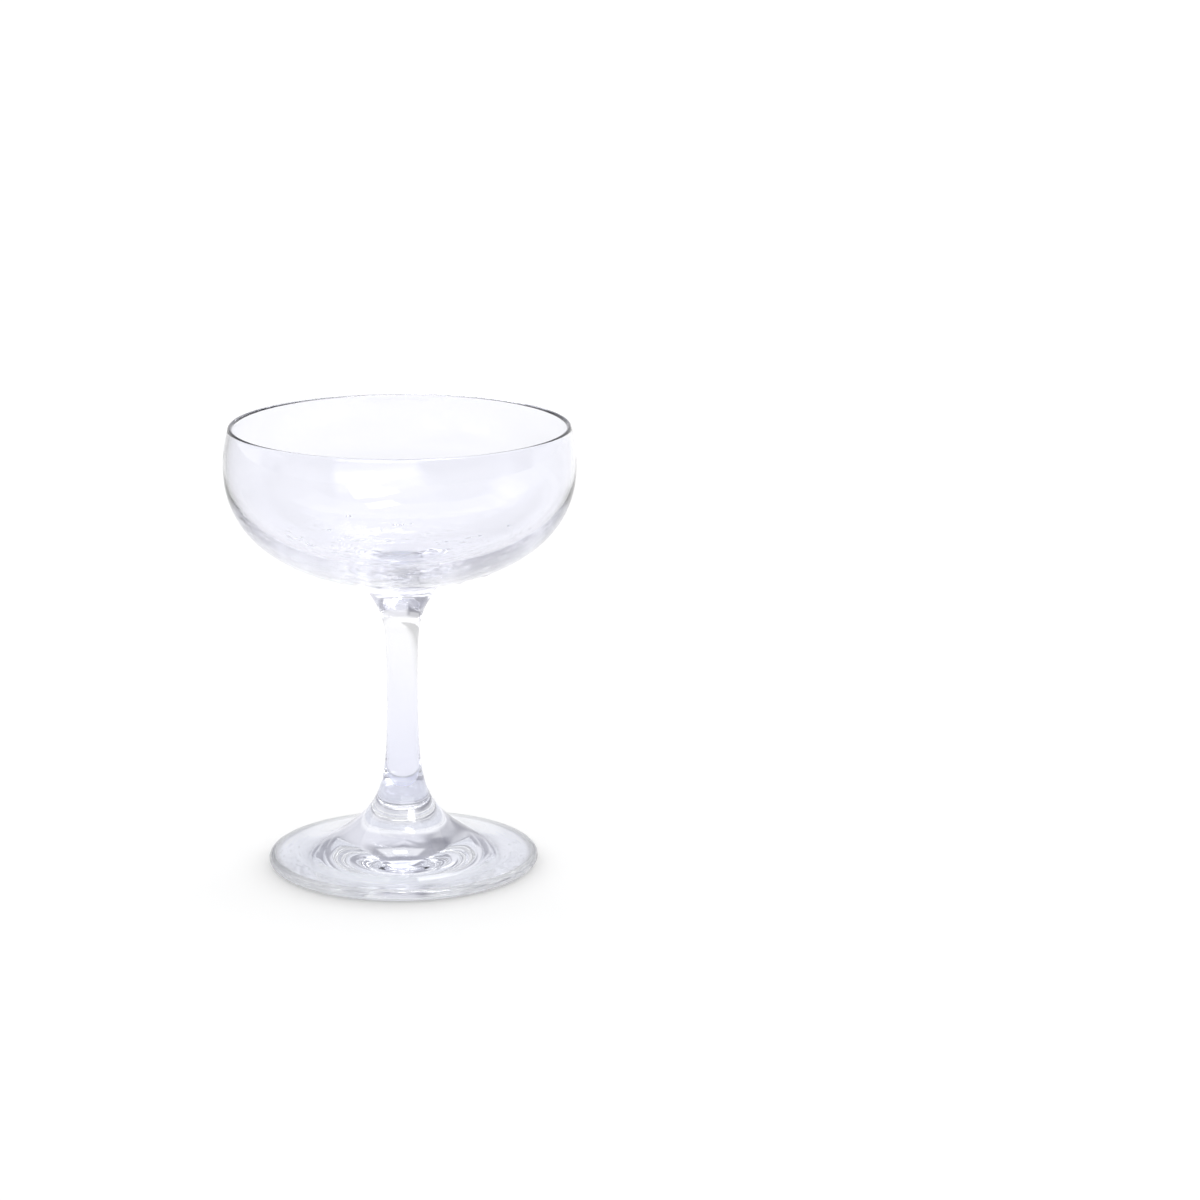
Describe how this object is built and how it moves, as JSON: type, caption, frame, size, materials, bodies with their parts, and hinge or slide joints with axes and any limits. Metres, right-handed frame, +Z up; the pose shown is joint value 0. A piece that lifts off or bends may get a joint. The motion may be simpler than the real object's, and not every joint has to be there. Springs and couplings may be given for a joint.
{
  "type": "footed ice cream glass",
  "caption": "Clear stemmed glass with a shallow round bowl, a slim solid stem flared at both ends and a round foot, for serving ice cream or drinks.",
  "frame": {"origin": "on the table, under the middle of the foot", "axes": "+Z up along the axis of the glass, from the foot to the bowl"},
  "size_m": [0.0916, 0.0916, 0.118],
  "materials": {
    "clear_glass": "fire polished clear glass with a faint lavender cast"
  },
  "bodies": {
    "root": {"bowl": "clear_glass", "stem": "clear_glass", "foot": "clear_glass"}
  },
  "joints": []
}
